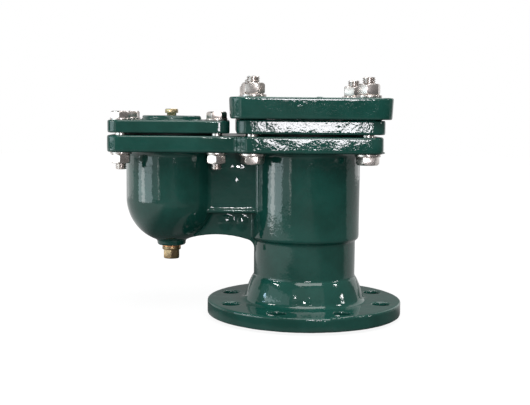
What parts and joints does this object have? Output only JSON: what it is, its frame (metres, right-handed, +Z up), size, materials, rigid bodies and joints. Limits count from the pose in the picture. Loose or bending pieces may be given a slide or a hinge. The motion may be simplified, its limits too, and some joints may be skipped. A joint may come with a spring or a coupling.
{
  "type": "air release valve",
  "caption": "Flanged air release valve: a large float ball shuts a hooded orifice, and a small float in a side bowl works a brass vent nozzle.",
  "frame": {"origin": "centre of the inlet bore on the flange's raised face", "axes": "+Z up along the large chamber's axis, -X from the large chamber to the small one, the picture taken from the -Y side"},
  "size_m": [0.3265, 0.22, 0.2685],
  "materials": {
    "green_enamel": "thick glossy green enamel over a sand casting",
    "bolt_steel": "plain stainless steel fasteners",
    "float_steel": "polished stainless steel shell",
    "brass": "turned brass",
    "copper": "soft copper",
    "black_rubber": "moulded black rubber"
  },
  "bodies": {
    "valve": {"column": "green_enamel", "bowl": "green_enamel", "body_plate": "green_enamel", "orifice_cover": "green_enamel", "cowl": "green_enamel", "nozzle_cover": "green_enamel", "large_gasket": "black_rubber", "small_gasket": "black_rubber", "seat_ring": "black_rubber", "nozzle": "brass", "large_bolts": "bolt_steel", "large_head_washers": "bolt_steel", "large_nut_washers": "bolt_steel", "large_nuts": "bolt_steel", "small_bolts": "bolt_steel", "small_head_washers": "bolt_steel", "small_nut_washers": "bolt_steel", "small_nuts": "bolt_steel"},
    "large_ball": {"large_float": "float_steel"},
    "small_ball": {"small_float": "black_rubber"},
    "plug_washer": {"drain_plug_washer": "copper"},
    "plug": {"drain_plug": "brass"}
  },
  "joints": [
    {"name": "large_ball_lift", "type": "slide", "parent": "valve", "child": "large_ball", "axis": [0, 0, 1], "range_m": [0, 0.038]},
    {"name": "small_ball_lift", "type": "slide", "parent": "valve", "child": "small_ball", "axis": [0, 0, 1], "range_m": [0, 0.016]},
    {"name": "plug_travel", "type": "slide", "parent": "valve", "child": "plug_washer", "axis": [0, 0, -1], "range_m": [0, 0.00936]},
    {"name": "plug_turn", "type": "hinge", "parent": "plug_washer", "child": "plug", "pos_m": [-0.151, 0, 0.07], "axis": [0, 0, -1], "range_deg": [0, 2520]}
  ],
  "couplings": [
    {"joint": "plug_turn", "follows": "plug_travel", "rad_per_m": 4699.5}
  ]
}
